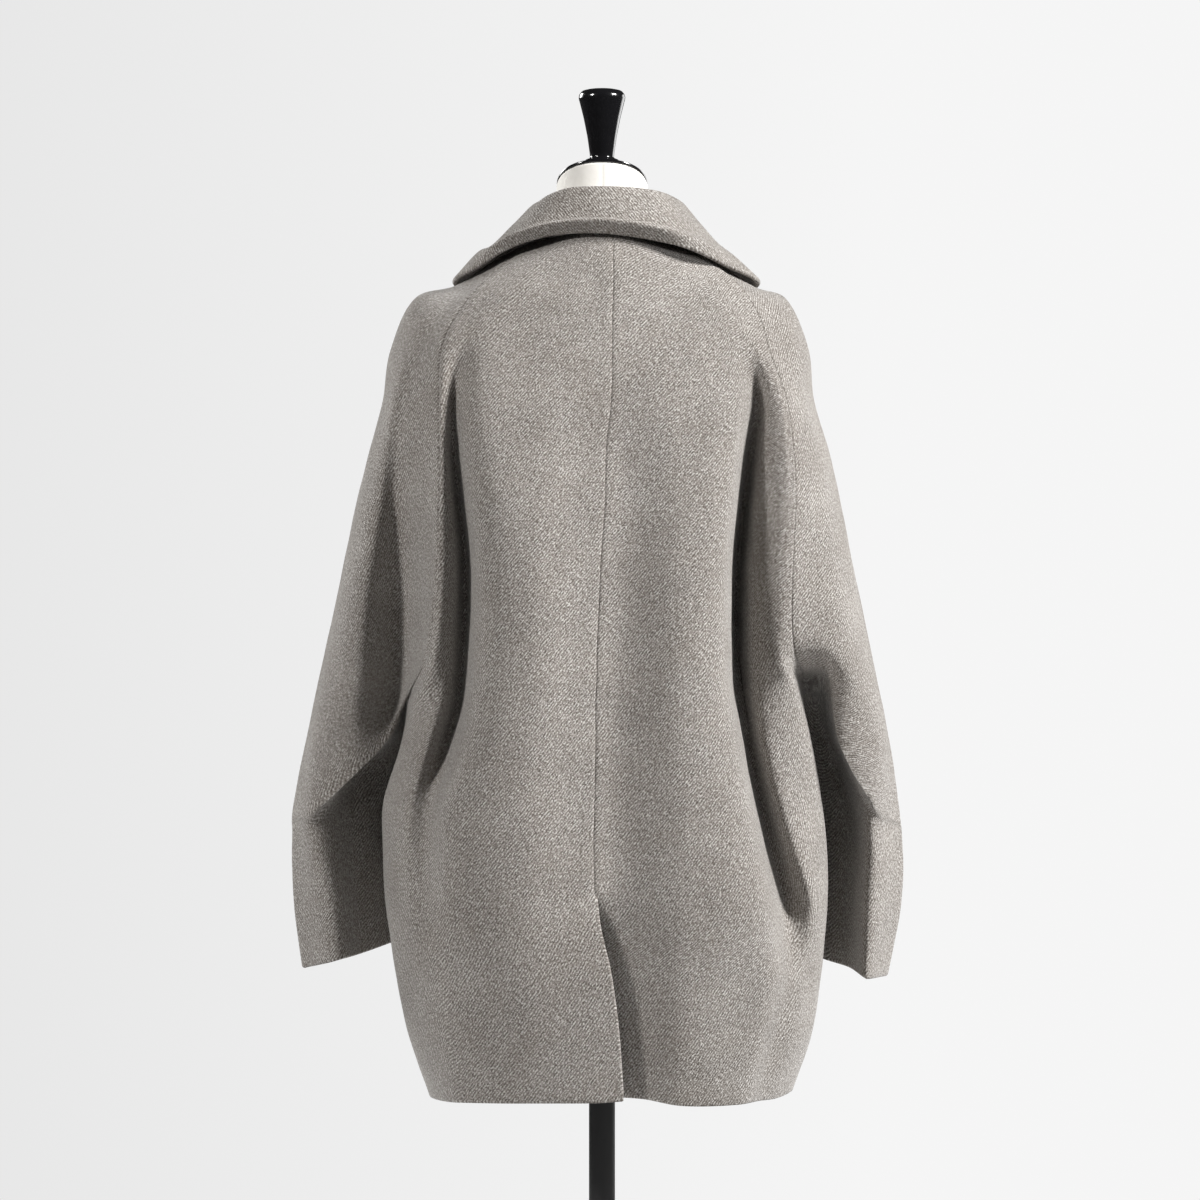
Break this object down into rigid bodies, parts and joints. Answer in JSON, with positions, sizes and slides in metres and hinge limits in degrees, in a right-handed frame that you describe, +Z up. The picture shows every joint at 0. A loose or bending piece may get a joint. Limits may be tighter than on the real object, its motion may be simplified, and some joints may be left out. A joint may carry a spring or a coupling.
{
  "type": "pea coat on a limbless dress form stand",
  "caption": "Double-breasted cocoon pea coat of thick wool with raglan sleeves, wide collar and back vent, worn by a limbless dress form on a round-based stand.",
  "frame": {"origin": "middle of the underside of the round base, on the floor", "axes": "+Z up along the pole, -Y the way the coat's front faces, +X the wearer's left"},
  "size_m": [0.6132, 0.3797, 1.548],
  "materials": {
    "wool": "milled wool twill, heathered grey and taupe, dull with a short nap",
    "horn": "dark horn, polished",
    "linen": "stretched cream linen, matte",
    "lacquer": "turned wood, black gloss lacquer",
    "black_metal": "black satin paint"
  },
  "bodies": {
    "root": {"back_left": "wool", "back_right": "wool", "front_left": "wool", "front_right": "wool", "sleeve_back_left": "wool", "sleeve_back_right": "wool", "sleeve_front_left": "wool", "sleeve_front_right": "wool", "collar": "wool", "lapel_left": "wool", "lapel_right": "wool", "button_1_left": "horn", "button_1_right": "horn", "button_2_left": "horn", "button_2_right": "horn", "button_3_left": "horn", "button_3_right": "horn", "form_torso": "linen", "neck_plate": "lacquer", "finial": "lacquer", "pole": "black_metal", "base": "black_metal"}
  },
  "joints": []
}
